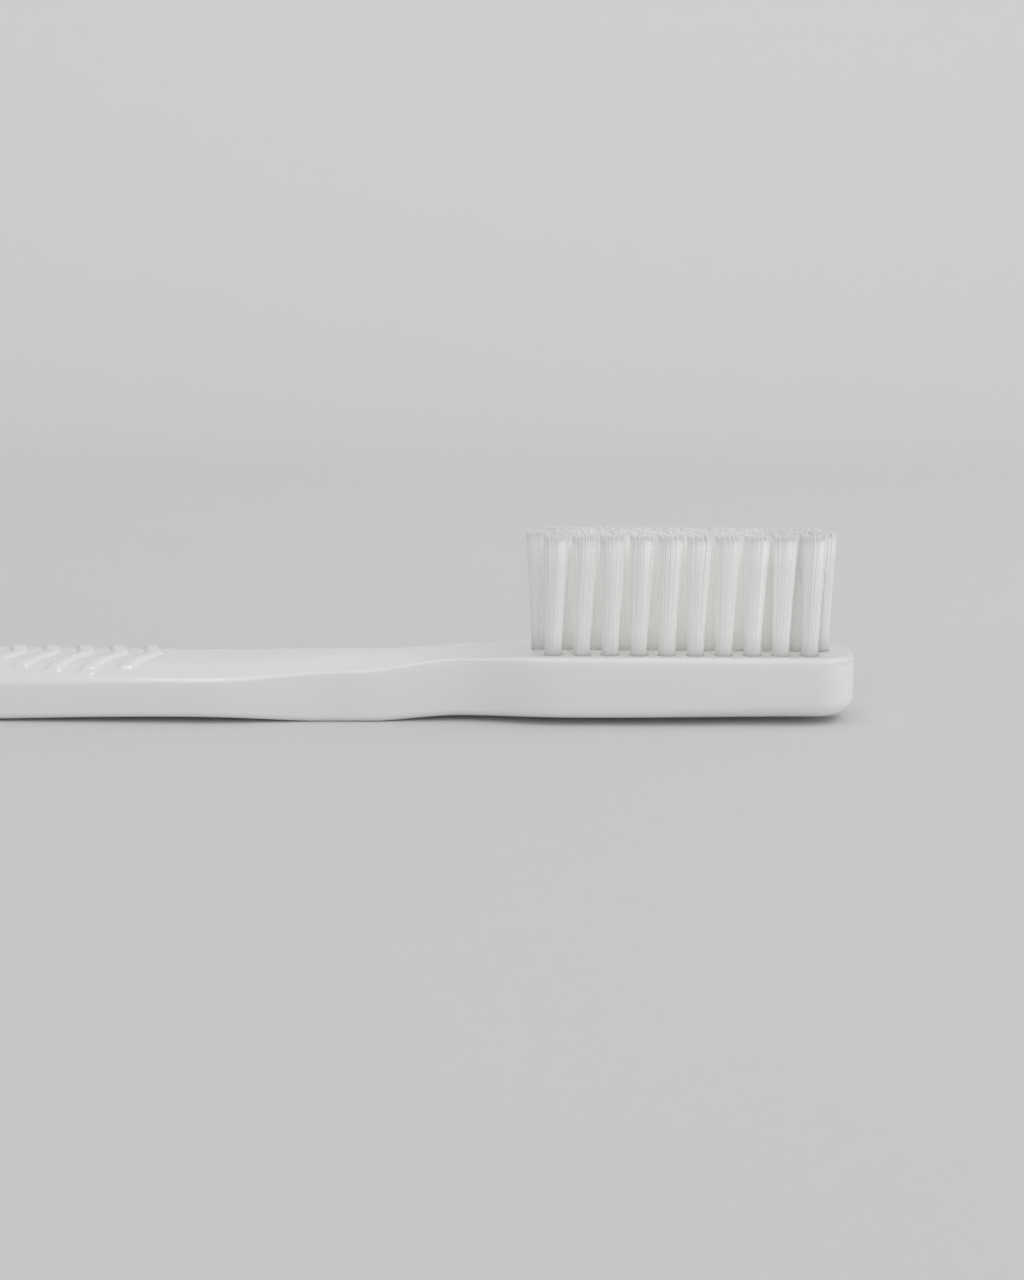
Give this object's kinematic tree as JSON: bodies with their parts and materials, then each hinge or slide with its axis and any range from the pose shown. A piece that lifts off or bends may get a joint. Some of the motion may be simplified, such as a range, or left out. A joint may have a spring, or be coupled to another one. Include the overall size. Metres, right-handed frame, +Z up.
{
  "type": "manual toothbrush",
  "caption": "Straight one-piece white plastic toothbrush with a slim waisted neck, chevron thumb ribs on a crowned grip and a narrow flat-trimmed head of nylon tufts in staggered rows.",
  "frame": {"origin": "middle of the length and width, on the table plane that the brush lies on, bristles up", "axes": "+X along the brush to the tip of the head, +Y across it to the left when looking at the tip from the grip with the bristles up, +Z up along the bristles"},
  "size_m": [0.185, 0.0126, 0.0166],
  "materials": {
    "handle_plastic": "white moulded plastic, smooth gloss",
    "bristle_nylon": "translucent white nylon filaments with rounded ends",
    "anchor_wire": "plain flat wire"
  },
  "bodies": {
    "root": {"handle": "handle_plastic", "tuft_right_01": "bristle_nylon", "tuft_right_02": "bristle_nylon", "tuft_right_03": "bristle_nylon", "tuft_right_04": "bristle_nylon", "tuft_right_05": "bristle_nylon", "tuft_right_06": "bristle_nylon", "tuft_right_07": "bristle_nylon", "tuft_right_08": "bristle_nylon", "tuft_right_09": "bristle_nylon", "tuft_right_10": "bristle_nylon", "tuft_centre_01": "bristle_nylon", "tuft_centre_02": "bristle_nylon", "tuft_centre_03": "bristle_nylon", "tuft_centre_04": "bristle_nylon", "tuft_centre_05": "bristle_nylon", "tuft_centre_06": "bristle_nylon", "tuft_centre_07": "bristle_nylon", "tuft_centre_08": "bristle_nylon", "tuft_centre_09": "bristle_nylon", "tuft_centre_10": "bristle_nylon", "tuft_centre_11": "bristle_nylon", "tuft_left_01": "bristle_nylon", "tuft_left_02": "bristle_nylon", "tuft_left_03": "bristle_nylon", "tuft_left_04": "bristle_nylon", "tuft_left_05": "bristle_nylon", "tuft_left_06": "bristle_nylon", "tuft_left_07": "bristle_nylon", "tuft_left_08": "bristle_nylon", "tuft_left_09": "bristle_nylon", "tuft_left_10": "bristle_nylon", "anchors_right_row": "anchor_wire", "anchors_centre_row": "anchor_wire", "anchors_left_row": "anchor_wire"}
  },
  "joints": []
}
